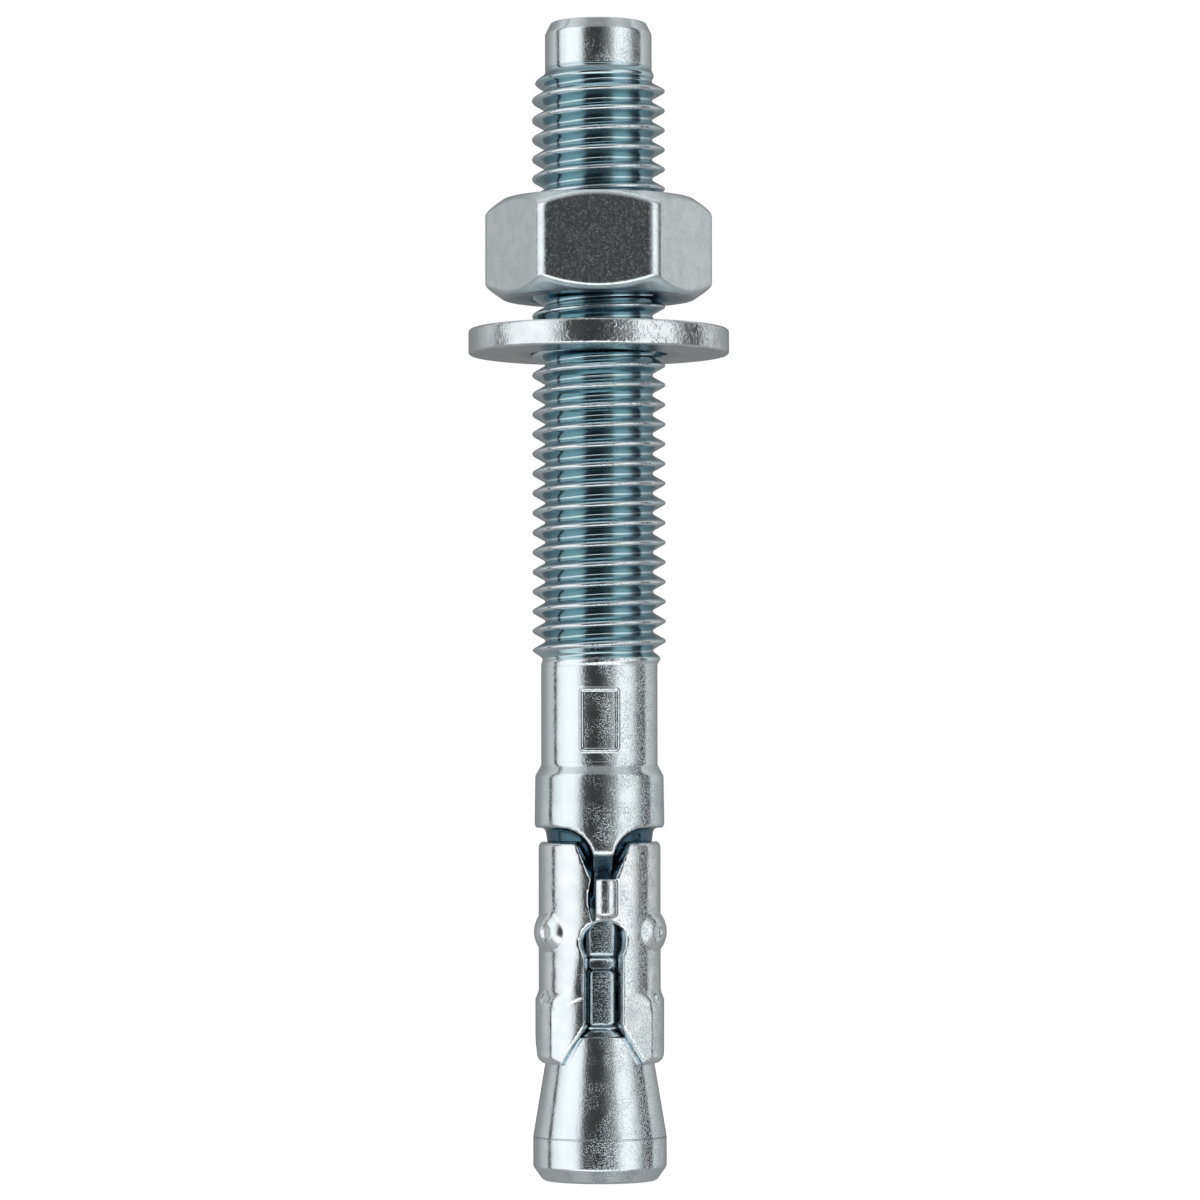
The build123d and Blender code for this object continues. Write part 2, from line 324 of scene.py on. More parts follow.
def film_and_painted_shade(tree, place, normal, plain, full, none, upward_shade, films_and_shade):
    """Plain colour and full relief, changing from a radius inwards to the film's colour,
    which is passivate tint and painted shade.

    The radius where it starts has one value below the thread and one on it. A film is
    (height, hex, share of the relief left) and reaches up to the next one. Where little
    relief is left, faces that look up get a painted shade: the upward shade colour
    multiplies the film there.
    """
    across, along, up = add(tree, "ShaderNodeSeparateXYZ", {0: place}).outputs
    radius = add(tree, maths, {0: across, 1: across}, operation="MULTIPLY")
    radius = add(tree, maths, {0: along, 1: along, 2: radius}, operation="MULTIPLY_ADD")
    radius = add(tree, maths, {0: radius}, operation="SQRT")
    start = {"Value": up, "From Min": thread_foot[0], "From Max": thread_foot[1]}
    start = add(tree, spread, start | {"To Min": none[0], "To Max": none[1]})
    # How deep the film and its painted shade are, from the start radius in to the full one.
    depth = add(tree, spread, {"Value": radius, "From Min": start, "From Max": full})
    rise = add(tree, spread, {"Value": up, "From Max": anchor_height})
    ramp = add(tree, "ShaderNodeValToRGB", {"Fac": rise})
    ramp.color_ramp.interpolation = "CONSTANT"
    stops = ramp.color_ramp.elements
    while len(stops) < len(films_and_shade):
        stops.new(1.0)
    for stop, (height, film_and_shade, relief) in zip(stops, films_and_shade):
        stop.position = height * mm / anchor_height
        stop.color = colour(film_and_shade)[:3] + [relief]
    # Painted shade on faces that look up, where little relief is left.
    upward = add(tree, "ShaderNodeSeparateXYZ", {0: normal}).outputs["Z"]
    upward = {"Value": upward, "From Min": upward_shade_slopes[0], "From Max": upward_shade_slopes[1]}
    upward = add(tree, spread, upward)
    upward_shade_share = add(tree, maths, {0: 1.0, 1: ramp.outputs["Alpha"]}, operation="SUBTRACT")
    upward = add(tree, maths, {0: upward, 1: upward_shade_share}, operation="MULTIPLY")
    film_and_shade = {0: upward, 6: ramp, 7: colour(upward_shade)}
    film_and_shade = add(tree, "ShaderNodeMix", film_and_shade, data_type="RGBA", blend_type="MULTIPLY")
    hue = add(tree, "ShaderNodeMix", {0: depth, 6: plain, 7: film_and_shade.outputs[2]}, data_type="RGBA")
    left = add(tree, "ShaderNodeMix", {0: depth, 2: 1.0, 3: ramp.outputs["Alpha"]})
    return hue, left


print("the film is mapped over", round(anchor_height / mm, 1), "mm")

# %% [markdown]
# The relief is a sum of noises, each with a real size and depth in millimetres. Grain
# and scratches are about three times as coarse as on the metal, so that they show. A
# speck is an island where a noise rises over a level, and specks come in clusters, more
# of them on the side that lay on its neighbours in the barrel. A scratch is the thin
# line along which a noise crosses its own middle value, broken into dashes by a second
# noise.

# %% Relief of the plate
island_levels = (0.52, 0.66)
cluster_levels = (0.4, 0.6)
cluster_least = 0.35
rubbed_side = (-2 * mm, 3 * mm)
rubbed_gain = (0.3, 2.2)
scratch_curl = 0.8
scratch_width = 0.08
dash_scale = 0.7
dash_levels = (0.35, 0.55)
print("specks rise over", island_levels)


def plate_relief(tree, place, grain, speck, scratch, wave):
    """The height of the skin in metres, with its crystals and waves. Each is (size, depth)."""
    crystals = {"Vector": place, "Scale": 1 / grain[0], "Detail": 2.0}
    crystals = add(tree, "ShaderNodeTexNoise", crystals)
    islands = {"Vector": place, "Scale": 1 / speck[0], "Detail": 1.0}
    islands = add(tree, "ShaderNodeTexNoise", islands)
    curls = {"Vector": place, "Scale": 1 / scratch[0], "Detail": 1.0}
    curls = add(tree, "ShaderNodeTexNoise", curls | {"Distortion": scratch_curl})
    breaks = {"Vector": place, "Scale": dash_scale / scratch[0], "Detail": 0.0}
    breaks = add(tree, "ShaderNodeTexNoise", breaks)
    waves = {"Vector": place, "Scale": 1 / wave[0], "Detail": 1.0}
    waves = add(tree, "ShaderNodeTexNoise", waves)

    island = {"Value": islands, "From Min": island_levels[0], "From Max": island_levels[1]}
    island = add(tree, spread, island)
    cluster = {"Value": waves, "From Min": cluster_levels[0], "From Max": cluster_levels[1]}
    cluster = add(tree, spread, cluster | {"To Min": cluster_least})
    island = add(tree, maths, {0: island, 1: cluster}, operation="MULTIPLY")
    across = add(tree, "ShaderNodeSeparateXYZ", {0: place}).outputs["X"]
    rubbed = {"Value": across, "From Min": rubbed_side[0], "From Max": rubbed_side[1]}
    rubbed = add(tree, spread, rubbed | {"To Min": rubbed_gain[0], "To Max": rubbed_gain[1]})
    island = add(tree, maths, {0: island, 1: rubbed}, operation="MULTIPLY")
    away = add(tree, maths, {0: curls, 1: 0.5}, operation="SUBTRACT")
    away = add(tree, maths, {0: away}, operation="ABSOLUTE")
    line = {"Value": away, "From Max": scratch_width, "To Min": 1.0, "To Max": 0.0}
    line = add(tree, spread, line)
    dash = {"Value": breaks, "From Min": dash_levels[0], "From Max": dash_levels[1]}
    dash = add(tree, spread, dash)
    line = add(tree, maths, {0: line, 1: dash}, operation="MULTIPLY")

    relief = add(tree, maths, {0: crystals, 1: grain[1]}, operation="MULTIPLY")
    relief = add(tree, maths, {0: island, 1: speck[1], 2: relief}, operation="MULTIPLY_ADD")
    relief = add(tree, maths, {0: line, 1: scratch[1], 2: relief}, operation="MULTIPLY_ADD")
    relief = add(tree, maths, {0: waves, 1: wave[1], 2: relief}, operation="MULTIPLY_ADD")
    return relief, crystals, waves


# %% [markdown]
# Patches of two tints follow the waves of the skin, and the crystals make it a little
# rougher here and smoother there. The relief reaches the shader through a Bump node.

# %% Zinc material
patch_levels = (0.35, 0.65)
rough_levels = (0.3, 0.7)
rough_change = 0.04
print("roughness changes by", rough_change, "either way")


def zinc(name, tints, roughness, film_and_shade, **relief):
    """Bright zinc plate: two tints in patches, a film with painted shade, and a relief."""
    material = bpy.data.materials.new(name)
    tree = empty_tree(material)
    coordinates = add(tree, "ShaderNodeTexCoord")
    place, normal = coordinates.outputs["Object"], coordinates.outputs["Normal"]
    height, crystals, waves = plate_relief(tree, place, **relief)
    patches = {"Value": waves, "From Min": patch_levels[0], "From Max": patch_levels[1]}
    patches = add(tree, spread, patches)
    hue = {0: patches, 6: colour(tints[0]), 7: colour(tints[1])}
    hue = add(tree, "ShaderNodeMix", hue, data_type="RGBA")
    # The film adds passivate tint and painted shade towards the axis.
    hue, left = film_and_painted_shade(tree, place, normal, hue.outputs[2], *film_and_shade)
    height = add(tree, maths, {0: height, 1: left}, operation="MULTIPLY")
    skin = add(tree, "ShaderNodeBump", {"Height": height, "Distance": 1.0})
    rough = {"Value": crystals, "From Min": rough_levels[0], "From Max": rough_levels[1]}
    rough |= {"To Min": roughness - rough_change, "To Max": roughness + rough_change}
    rough = add(tree, spread, rough)
    metal = {"Base Color": hue.outputs[2], "Metallic": 1.0, "Roughness": rough, "Normal": skin}
    metal = add(tree, "ShaderNodeBsdfPrincipled", metal)
    add(tree, "ShaderNodeOutputMaterial", {"Surface": metal})
    print(name, "tints", *tints, "roughness", roughness)
    return material


# %% [markdown]
# Each piece has its own plate. The bolt and the sleeve are bright and finely grained.
# The washer and the nut went through the barrel loose and are duller, the washer with
# broad scuffs and the nut with a dense web of fine scratches. On the bolt the film and
# its painted shade are darkest on the neck, in the recess between collar and sleeve, and
# in the thread; on the other pieces they lie towards the bore. A ramp has at least two
# stops, so a piece with one film has it at its foot and again above it.

# %% The plates of the bolt and the sleeve
clear = "#ffffff"
# Film colours up the bolt, passivate tint with painted shade in the recesses.
bolt_film_and_shade = [
    (0, "#e2ebee", 1),
    (12.8, "#bccad0", 1),
    # Painted shade: dark teal on the neck between the sleeve and the collar.
    (24, "#4d6b7a", 1),
    (31.15, "#e2ebee", 1),
    # Painted shade with passivate tint in the thread roots.
    (46.0, "#bdd4d9", 0.1),
    (98.1, "#c3d6dc", 0.4),
    (98.55, "#e2ebee", 1),
]
bolt_zinc = zinc(
    "bolt_zinc",
    ("#e2ebee", "#d9e4e8"),
    0.09,
    # a3b9c1 is the painted shade on thread faces that look up.
    film_and_shade=(5.5 * mm, (5.72 * mm, 5.93 * mm), "#a3b9c1", bolt_film_and_shade),
    grain=(0.2 * mm, 0.006 * mm),
    speck=(0.12 * mm, 0.009 * mm),
    scratch=(0.5 * mm, 0.001 * mm),
    wave=(1.8 * mm, 0.015 * mm),
)
# Bluer inner faces and slot cut faces: passivate tint with painted shade.
sleeve_film_and_shade = [(0, "#c9d9e0", 1), (99, "#c9d9e0", 1)]
sleeve_zinc = zinc(
    "sleeve_zinc",
    ("#e8eef0", "#dfe7ea"),
    0.10,
    film_and_shade=(4.5 * mm, (5.2 * mm, 5.2 * mm), clear, sleeve_film_and_shade),
    grain=(0.2 * mm, 0.007 * mm),
    speck=(0.12 * mm, 0.008 * mm),
    scratch=(0.45 * mm, 0.001 * mm),
    wave=(1.6 * mm, 0.025 * mm),
)

# %% The plates of the washer and the nut
# Bluer towards the bore: passivate tint with painted shade in the hole.
washer_film_and_shade = [(0, "#a5bfca", 1), (99, "#a5bfca", 1)]
washer_zinc = zinc(
    "washer_zinc",
    ("#e6ecee", "#dae2e5"),
    0.15,
    film_and_shade=(6.3 * mm, (8.0 * mm, 8.0 * mm), clear, washer_film_and_shade),
    grain=(0.2 * mm, 0.012 * mm),
    speck=(0.3 * mm, 0.012 * mm),
    scratch=(0.6 * mm, 0.006 * mm),
    wave=(1.5 * mm, 0.04 * mm),
)
# Darker and bluer towards the bore, darkest on the lower half beside the washer: passivate tint
# with painted shade.
nut_film_and_shade = [(0, "#5b8396", 1), (83, "#cfdee4", 1)]
nut_zinc = zinc(
    "nut_zinc",
    ("#e8f0f2", "#dde7ea"),
    0.20,
    film_and_shade=(7.2 * mm, (8.9 * mm, 8.9 * mm), clear, nut_film_and_shade),
    grain=(0.16 * mm, 0.006 * mm),
    speck=(0.2 * mm, 0.001 * mm),
    scratch=(0.17 * mm, 0.0035 * mm),
    wave=(1.5 * mm, 0.015 * mm),
)

# %% [markdown]
# ## The thread
#
# The thread of an anchor is rolled: hard dies squeeze a plain rod, so metal leaves the
# root and rises into the crest, and both run out into the rod's own diameter. A helix
# could be swept along a spiral curve, but a rule gives cleaner metal. Geometry Nodes
# take a flat grid, wrap it once round the axis and shear it by one pitch, so that each
# row of the grid is a helix and every crest lies along an edge.

# %% Thread sizes
thread_sizes = {
    "Pitch": 1.75 * mm,
    "Crest": 5.915 * mm,
    "Root": 4.80 * mm,
    "Blank": 5.155 * mm,
    "Nose": 4.745 * mm,
    "Base": 45.3 * mm,
    "Point": 96.9 * mm,
    "Top": 98.6 * mm,
    "Run Out": 1.7 * mm,
    "Tuck": 0.5 * mm,
    "Start": 59.9 * mm,
    "Crest Flat": 0.24 * mm,
    "Root Flat": 0.24 * mm,
}
thread_counts = {"Sides": 90, "Rows Per Turn": 16}
spare_turns = 3
length = thread_sizes["Top"] - thread_sizes["Base"] + 2 * thread_sizes["Tuck"]
turns = math.ceil(length / thread_sizes["Pitch"]) + spare_turns
thread_counts["Rows"] = turns * thread_counts["Rows Per Turn"]
print("thread turns:", turns)


# %% Thread: its inputs
def thread_inputs(tree):
    """The named sizes, counts and metal that the thread is rolled from."""
    tree.interface.new_socket("Thread", in_out="OUTPUT", socket_type="NodeSocketGeometry")
    for name in thread_sizes:
        tree.interface.new_socket(name, in_out="INPUT", socket_type="NodeSocketFloat")
    for name in thread_counts:
        tree.interface.new_socket(name, in_out="INPUT", socket_type="NodeSocketInt")
    tree.interface.new_socket("Metal", in_out="INPUT", socket_type="NodeSocketMaterial")
    return add(tree, "NodeGroupInput").outputs


print("thread inputs:", len(thread_sizes) + len(thread_counts) + 1)

# %% [markdown]
# Each point of the grid has a turn, from 0 to 1 round the axis, and a row. Its height
# climbs with both. The rows crowd together at the crest and the root, where the profile
# bends, and stand apart on the straight flanks. Points that would lie beyond the ends
# are held at the ends.

# %% Thread: where each point climbs to
crowding = 0.7
print("rows crowd by", crowding)


def thread_climb(tree, given, turn, row):
    """Height, whether it lies between the ends, and the place from root 0 to crest 1."""
    low = add(tree, maths, {0: given["Base"], 1: given["Tuck"]}, operation="SUBTRACT")
    high = add(tree, maths, {0: given["Top"], 1: given["Tuck"]}, operation="ADD")
    start = add(tree, maths, {0: low, 1: given["Start"]}, operation="SUBTRACT")
    start = add(tree, maths, {0: start, 1: given["Pitch"]}, operation="DIVIDE")
    start = add(tree, maths, {0: start}, operation="FLOOR")
    start = add(tree, maths, {0: start, 1: 1.0}, operation="SUBTRACT")
    turns = add(tree, maths, {0: row, 1: given["Rows Per Turn"]}, operation="DIVIDE")
    share = add(tree, maths, {0: turns}, operation="FRACT")
    whole = add(tree, maths, {0: turns, 1: share}, operation="SUBTRACT")

    side = add(tree, maths, {0: share, 1: 2.0, 2: -1.0}, operation="MULTIPLY_ADD")
    place = add(tree, maths, {0: side}, operation="ABSOLUTE")
    crowded = add(tree, spread, {"Value": place}, interpolation_type="SMOOTHSTEP")
    place = add(tree, "ShaderNodeMix", {0: crowding, 2: place, 3: crowded})
    side = add(tree, maths, {0: side}, operation="SIGN")
    share = add(tree, maths, {0: side, 1: place, 2: 1.0}, operation="MULTIPLY_ADD")
    share = add(tree, maths, {0: share, 1: 0.5, 2: turn}, operation="MULTIPLY_ADD")
    steps = add(tree, maths, {0: whole, 1: share}, operation="ADD")
    steps = add(tree, maths, {0: steps, 1: start}, operation="ADD")
    climb = {0: steps, 1: given["Pitch"], 2: given["Start"]}
    climb = add(tree, maths, climb, operation="MULTIPLY_ADD")

    above = add(tree, maths, {0: climb, 1: low}, operation="GREATER_THAN")
    below = add(tree, maths, {0: climb, 1: high}, operation="LESS_THAN")
    inside = add(tree, maths, {0: above, 1: below}, operation="MULTIPLY")
    height = add(tree, maths, {0: climb, 1: low}, operation="MAXIMUM")
    height = add(tree, maths, {0: height, 1: high}, operation="MINIMUM")
    return height, inside, place


# %% [markdown]
# Across half a pitch the profile is a straight flank between root and crest. The two
# flats are cut from it, and soft minimum and maximum round its corners, as worn dies do.

# %% Thread: the rolled profile
root_softness = 0.14
crest_softness = 0.08
flats = thread_sizes["Root Flat"] + thread_sizes["Crest Flat"]
flank_run = (thread_sizes["Pitch"] - flats) / 2
flank_rise = thread_sizes["Crest"] - thread_sizes["Root"]
print("flank angle:", round(math.degrees(math.atan(flank_run / flank_rise)), 1), "degrees")


def thread_profile(tree, given, place):
    """The radius of the full thread at a place between root 0 and crest 1."""
    foot = add(tree, maths, {0: given["Root Flat"], 1: given["Pitch"]}, operation="DIVIDE")
    brow = add(tree, maths, {0: given["Crest Flat"], 1: given["Pitch"]}, operation="DIVIDE")
    brow = add(tree, maths, {0: 1.0, 1: brow}, operation="SUBTRACT")
    flank = add(tree, spread, {"Value": place, "From Min": foot, "From Max": brow}, clamp=False)
    flank = add(tree, maths, {0: flank, 1: 0.0, 2: root_softness}, operation="SMOOTH_MAX")
    flank = add(tree, maths, {0: flank, 1: 1.0, 2: crest_softness}, operation="SMOOTH_MIN")
    depth = add(tree, maths, {0: given["Crest"], 1: given["Root"]}, operation="SUBTRACT")
    return add(tree, maths, {0: flank, 1: depth, 2: given["Root"]}, operation="MULTIPLY_ADD")


# %% [markdown]
# At the foot the profile fades into the plain rod. At the top the last ridges get lower
# and die out on the nose, so that a nut finds its way on.

# %% Thread: its two ends
print("the thread runs out over", thread_sizes["Run Out"] / mm, "mm")


def thread_ends(tree, given, rolled, height):
    """The radius with the run-out at the foot and the point at the top."""
    foot = add(tree, maths, {0: given["Base"], 1: given["Run Out"]}, operation="ADD")
    fade = {"Value": height, "From Min": given["Base"], "From Max": foot}
    fade = add(tree, spread, fade, interpolation_type="SMOOTHSTEP")
    gain = add(tree, maths, {0: rolled, 1: given["Blank"]}, operation="SUBTRACT")
    radius = add(tree, maths, {0: fade, 1: gain, 2: given["Blank"]}, operation="MULTIPLY_ADD")
    point = {"Value": height, "From Min": given["Point"], "From Max": given["Top"]}
    point |= {"To Min": 1.0, "To Max": 0.0}
    point = add(tree, spread, point, interpolation_type="SMOOTHSTEP")
    gain = add(tree, maths, {0: radius, 1: given["Nose"]}, operation="SUBTRACT")
    return add(tree, maths, {0: point, 1: gain, 2: given["Nose"]}, operation="MULTIPLY_ADD")


# %% [markdown]
# The whole tree takes the grid, works out a height and a radius for each point, and sets
# it in place. The two edges of the grid that meet after a full turn, and the points held
# at the ends, are merged, so the result is a closed skin.

# %% Thread: the whole tree
weld = 0.001 * mm
print("points closer than", round(weld / mm, 4), "mm are merged")


def thread_tree():
    """Geometry Nodes that roll a thread from a grid."""
    tree = bpy.data.node_groups.new("rolled_thread", "GeometryNodeTree")
    given = thread_inputs(tree)
    across = add(tree, maths, {0: given["Sides"], 1: 1.0}, operation="ADD")
    along = add(tree, maths, {0: given["Rows"], 1: 1.0}, operation="ADD")
    grid = {"Size X": 1.0, "Size Y": 1.0, "Vertices X": across, "Vertices Y": along}
    grid = add(tree, "GeometryNodeMeshGrid", grid)
    flat = add(tree, "ShaderNodeSeparateXYZ", {0: add(tree, "GeometryNodeInputPosition")})
    turn = add(tree, maths, {0: flat.outputs["X"], 1: 0.5}, operation="ADD")
    row = add(tree, maths, {0: flat.outputs["Y"], 1: 0.5}, operation="ADD")
    row = add(tree, maths, {0: row, 1: given["Rows"]}, operation="MULTIPLY")

    height, inside, place = thread_climb(tree, given, turn, row)
    rolled = thread_profile(tree, given, place)
    radius = thread_ends(tree, given, rolled, height)
    radius = add(tree, maths, {0: radius, 1: inside}, operation="MULTIPLY")
    angle = add(tree, maths, {0: turn, 1: 2 * math.pi}, operation="MULTIPLY")
    east = add(tree, maths, {0: angle}, operation="COSINE")
    east = add(tree, maths, {0: east, 1: radius}, operation="MULTIPLY")
    north = add(tree, maths, {0: angle}, operation="SINE")
    north = add(tree, maths, {0: north, 1: radius}, operation="MULTIPLY")
    spot = add(tree, "ShaderNodeCombineXYZ", {"X": east, "Y": north, "Z": height})

    mesh = add(tree, "GeometryNodeSetPosition", {"Geometry": grid, "Position": spot})
    mesh = add(tree, "GeometryNodeMergeByDistance", {"Geometry": mesh, "Distance": weld})
    mesh = add(tree, "GeometryNodeSetShadeSmooth", {"Geometry": mesh})
    mesh = add(tree, "GeometryNodeRealizeInstances", {"Geometry": mesh})
    mesh = add(tree, "GeometryNodeSetMaterial", {"Geometry": mesh, "Material": given["Metal"]})
    add(tree, "NodeGroupOutput", {"Thread": mesh})
    return tree


# %% [markdown]
# A modifier's inputs are set by their socket identifiers before the object is first
# evaluated. The evaluated result is then kept as a plain mesh, and the object that
# carried the modifier is removed.

# %% Grow the thread
def after_modifier(mesh, kind, inputs=None, **settings):
    """The plain mesh that one modifier makes of a mesh."""
    host = bpy.data.objects.new("host", mesh)
    scene.collection.objects.link(host)
    modifier = host.modifiers.new("step", kind)
    for name, value in settings.items():
        setattr(modifier, name, value)
    for key, value in (inputs or {}).items():
        modifier[key] = value
    seen = host.evaluated_get(bpy.context.evaluated_depsgraph_get())
    made = bpy.data.meshes.new_from_object(seen)
    bpy.data.objects.remove(host)
    return made


tree = thread_tree()
given = [item for item in tree.interface.items_tree if item.in_out == "INPUT"]
sockets = {item.name: item.identifier for item in given}
values = thread_sizes | thread_counts | {"Metal": bolt_zinc}
inputs = {sockets[name]: value for name, value in values.items()}
thread = after_modifier(bpy.data.meshes.new("thread"), "NODES", inputs, node_group=tree)
print("thread faces:", len(thread.polygons))

# %% [markdown]
# ## Turned lengths
#
# The cone, the nose and the washer are turned, so one outline makes each of them. The
# plating barrel knocks hundreds of pieces together, and no edge comes out sharp, so
# every corner of an outline is swapped for a short curve. A Bevel modifier could do it
# afterwards, but here the curve and the points that hold the flats true beside it are
# known before the outline is spun.

# %% Outlines with worn corners
def worn(corners, steps=5, hold=0.05 * mm):
    """Points along an outline of (radius, height, wear), with each corner curved."""
    path = []
    for n, (radius, height, wear) in enumerate(corners):
        spot = Vector((radius, height))
        if wear == 0:
            path.append(spot)
            continue
        back = (Vector(corners[n - 1][:2]) - spot).normalized()
        ahead = (Vector(corners[(n + 1) % len(corners)][:2]) - spot).normalized()
        path.append(spot + back * (wear + hold))
        for step in range(steps + 1):
            share = step / steps
            first = (spot + back * wear).lerp(spot, share)
            path.append(first.lerp(spot.lerp(spot + ahead * wear, share), share))
        path.append(spot + ahead * (wear + hold))
    return path


def spun(path, turns, limit=None):
    """A smooth mesh from an outline set round Z at each turn; limit holds the radius in."""
    shape = bmesh.new()
    rings = []
    for turn in turns:
        spots = []
        for radius, height in path:
            reach = limit(radius, turn) if limit else radius
            spot = (reach * math.sin(turn), -reach * math.cos(turn), height)
            spots.append(shape.verts.new(spot))
        rings.append(spots)
    for near, far in zip(rings, rings[1:] + rings[:1]):
        for n in range(len(path) - 1):
            shape.faces.new((near[n], far[n], far[n + 1], near[n + 1]))
    bmesh.ops.remove_doubles(shape, verts=shape.verts, dist=weld / 10)
    bmesh.ops.recalc_face_normals(shape, faces=shape.faces)
    for face in shape.faces:
        face.smooth = True
    mesh = bpy.data.meshes.new("turned")
    shape.to_mesh(mesh)
    shape.free()
    return mesh


def in_metres(rows):
    """Rows of millimetres as rows of metres."""
    return [[size * mm for size in row] for row in rows]


turned_sides = 120
full_turn = [2 * math.pi * n / turned_sides for n in range(turned_sides)]
print("a turned piece has", turned_sides, "sides")

# %% Cone and nose
turned_steps = 3
cone_end = [
    (0, 0, 0),
    (5.02, 0, 0.25),
    (5.91, 1.25, 0.12),
    (5.91, 3.80, 0.03),
    (5.88, 3.87, 0.03),
    (5.895, 3.97, 0.03),
    (4.43, 12.77, 0.08),
    (3.96, 12.77, 0.08),
    (3.96, 13.5, 0),
    (0, 13.5, 0),
]
nose_end = [
    (0, 98.5, 0),
    (4.755, 98.5, 0.08),
    (4.755, 101.7, 0.12),
    (4.255, 102.7, 0.1),
    (0, 102.7, 0),
]
cone = spun(worn(in_metres(cone_end), turned_steps), full_turn)
nose = spun(worn(in_metres(nose_end), turned_steps), full_turn)
print("cone faces:", len(cone.polygons), "nose faces:", len(nose.polygons))

# %% [markdown]
# ## The shank and its blank frame
#
# Between the collar and the thread the shank is the plain rod, with a low raised frame
# rolled on to the front. The frame is only 0.12 mm proud, so it shows by its edges
# alone, and those must be crisp. The shank is therefore a spun tube whose radius is
# lifted by a rule, with a fine grid where the frame is and a coarse one elsewhere.

# %% The lift of the frame
frame_middle = 40.635 * mm
frame_width = 3.7 * mm
frame_tall = 5.85 * mm
frame_rim = 0.46 * mm
frame_corner = 0.5 * mm
frame_proud = 0.12 * mm
frame_edge = 0.23 * mm
frame_start = 0.1


def frame_lift(side, height):
    """How proud the frame is at a distance to the side and a height."""
    across = abs(side) - frame_width / 2 + frame_corner
    upwards = abs(height - frame_middle) - frame_tall / 2 + frame_corner
    outside = math.hypot(max(across, 0), max(upwards, 0)) + min(max(across, upwards), 0)
    depth = frame_corner - outside
    share = min(depth, frame_rim - depth) / frame_edge + frame_start
    share = min(max(share, 0), 1)
    return frame_proud * share * share * (3 - 2 * share)


rim_lift = frame_lift((frame_width - frame_rim) / 2, frame_middle)
print("the frame stands", round(rim_lift / mm, 3), "mm proud")

# %% [markdown]
# Points stand close together where an edge of the frame crosses, and far apart on the
# rest of the tube. One more ring just inside each end holds the plain metal true there.

# %% Shank with frame
shank_radius = 5.163 * mm
shank_foot = 36.9
shank_top = 45.35
fine_rise = 0.07
fine_turn = 0.5


def even(low, high, step):
    """Evenly spaced values from low up to but without high."""
    count = round((high - low) / step)
    return [low + (high - low) * n / count for n in range(count)]


shank_turns = even(-24, 24, fine_turn) + even(24, 336, 3)
shank_heights = [shank_foot, 36.92] + even(37.2, 38.6, fine_rise)
shank_heights += even(38.6, 42.6, 0.4) + even(42.6, 44.0, fine_rise)
shank_heights += [44.0, 45.3, shank_top]
shank_path = [(shank_radius, height * mm) for height in shank_heights]
shank_path = [(0, shank_foot * mm)] + shank_path + [(0, shank_top * mm)]
tube = spun(shank_path, [math.radians(turn) for turn in shank_turns])
for spot in tube.vertices:
    side, depth, height = spot.co
    if depth < 0 and math.hypot(side, depth) > shank_radius / 2:
        lift = 1 + frame_lift(side, height) / shank_radius
        spot.co.x *= lift
        spot.co.y *= lift
print("shank faces:", len(tube.polygons))

# %% [markdown]
# ## Forged and pressed shapes
#
# The neck with its pads and tongue, and the rolled sleeve, are no bodies of revolution.
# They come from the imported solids. A CAD mesh is long thin triangles, which a Bevel
# modifier can't round, so a Remesh modifier first rebuilds the skin from small even
# faces, and smoothing passes then wear the edges. A CAD mesh also draws a circle as a
# many-sided figure, and polished metal shows each side as a stripe. So points that lie
# within a hair of a known round are moved on to the true round before smoothing.

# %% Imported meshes
def merged_copy(node):
    """A copy of a CAD node's mesh with its loose triangles joined."""
    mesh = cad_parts[node].data.copy()
    shape = bmesh.new()
    shape.from_mesh(mesh)
    bmesh.ops.remove_doubles(shape, verts=shape.verts, dist=weld)
    shape.to_mesh(mesh)
    shape.free()
    mesh.materials.clear()
    return mesh


packed_bolt = merged_copy("anchor_bolt")
packed_sleeve = merged_copy("expansion_sleeve")
print("packed triangles:", len(packed_bolt.polygons), "and", len(packed_sleeve.polygons))


# %% Cut out the neck
def cut_between(mesh, low, high):
    """The part of a closed mesh between two heights, with the cuts closed."""
    shape = bmesh.new()
    shape.from_mesh(mesh)
    for height, up in ((low, -1), (high, 1)):
        whole = shape.verts[:] + shape.edges[:] + shape.faces[:]
        plane = {"plane_co": (0, 0, height), "plane_no": (0, 0, up)}
        cut = bmesh.ops.bisect_plane(shape, geom=whole, clear_outer=True, **plane)
        rim = [edge for edge in cut["geom_cut"] if isinstance(edge, bmesh.types.BMEdge)]
        bmesh.ops.contextual_create(shape, geom=rim)
    kept = bpy.data.meshes.new("kept")
    shape.to_mesh(kept)
    shape.free()
    return kept


neck_foot = 12.9 * mm
neck_top = 37.3 * mm
neck = cut_between(packed_bolt, neck_foot, neck_top)
print("faces in the cut neck:", len(neck.polygons))


# %% Even skins
half_way = 0.5
print("a smoothing pass moves a point", half_way, "of the way to its neighbours' middle")


def trued(mesh, rounds, hair=0.03 * mm):
    """Move points within a hair of a round on to it.

    A round is a cone or cylinder in millimetres: a height and its radius, and a second
    height and its radius.
    """
    moved = 0
    for spot in mesh.vertices:
        radius = math.hypot(spot.co.x, spot.co.y)
        for low, low_radius, high, high_radius in rounds:
            if low * mm < spot.co.z < high * mm:
                share = (spot.co.z / mm - low) / (high - low)
                true = (low_radius + (high_radius - low_radius) * share) * mm
                if abs(radius - true) < hair:
                    spot.co.x *= true / radius
                    spot.co.y *= true / radius
                    moved += 1
                    break
    print("points on true rounds:", moved, "of", len(mesh.vertices))


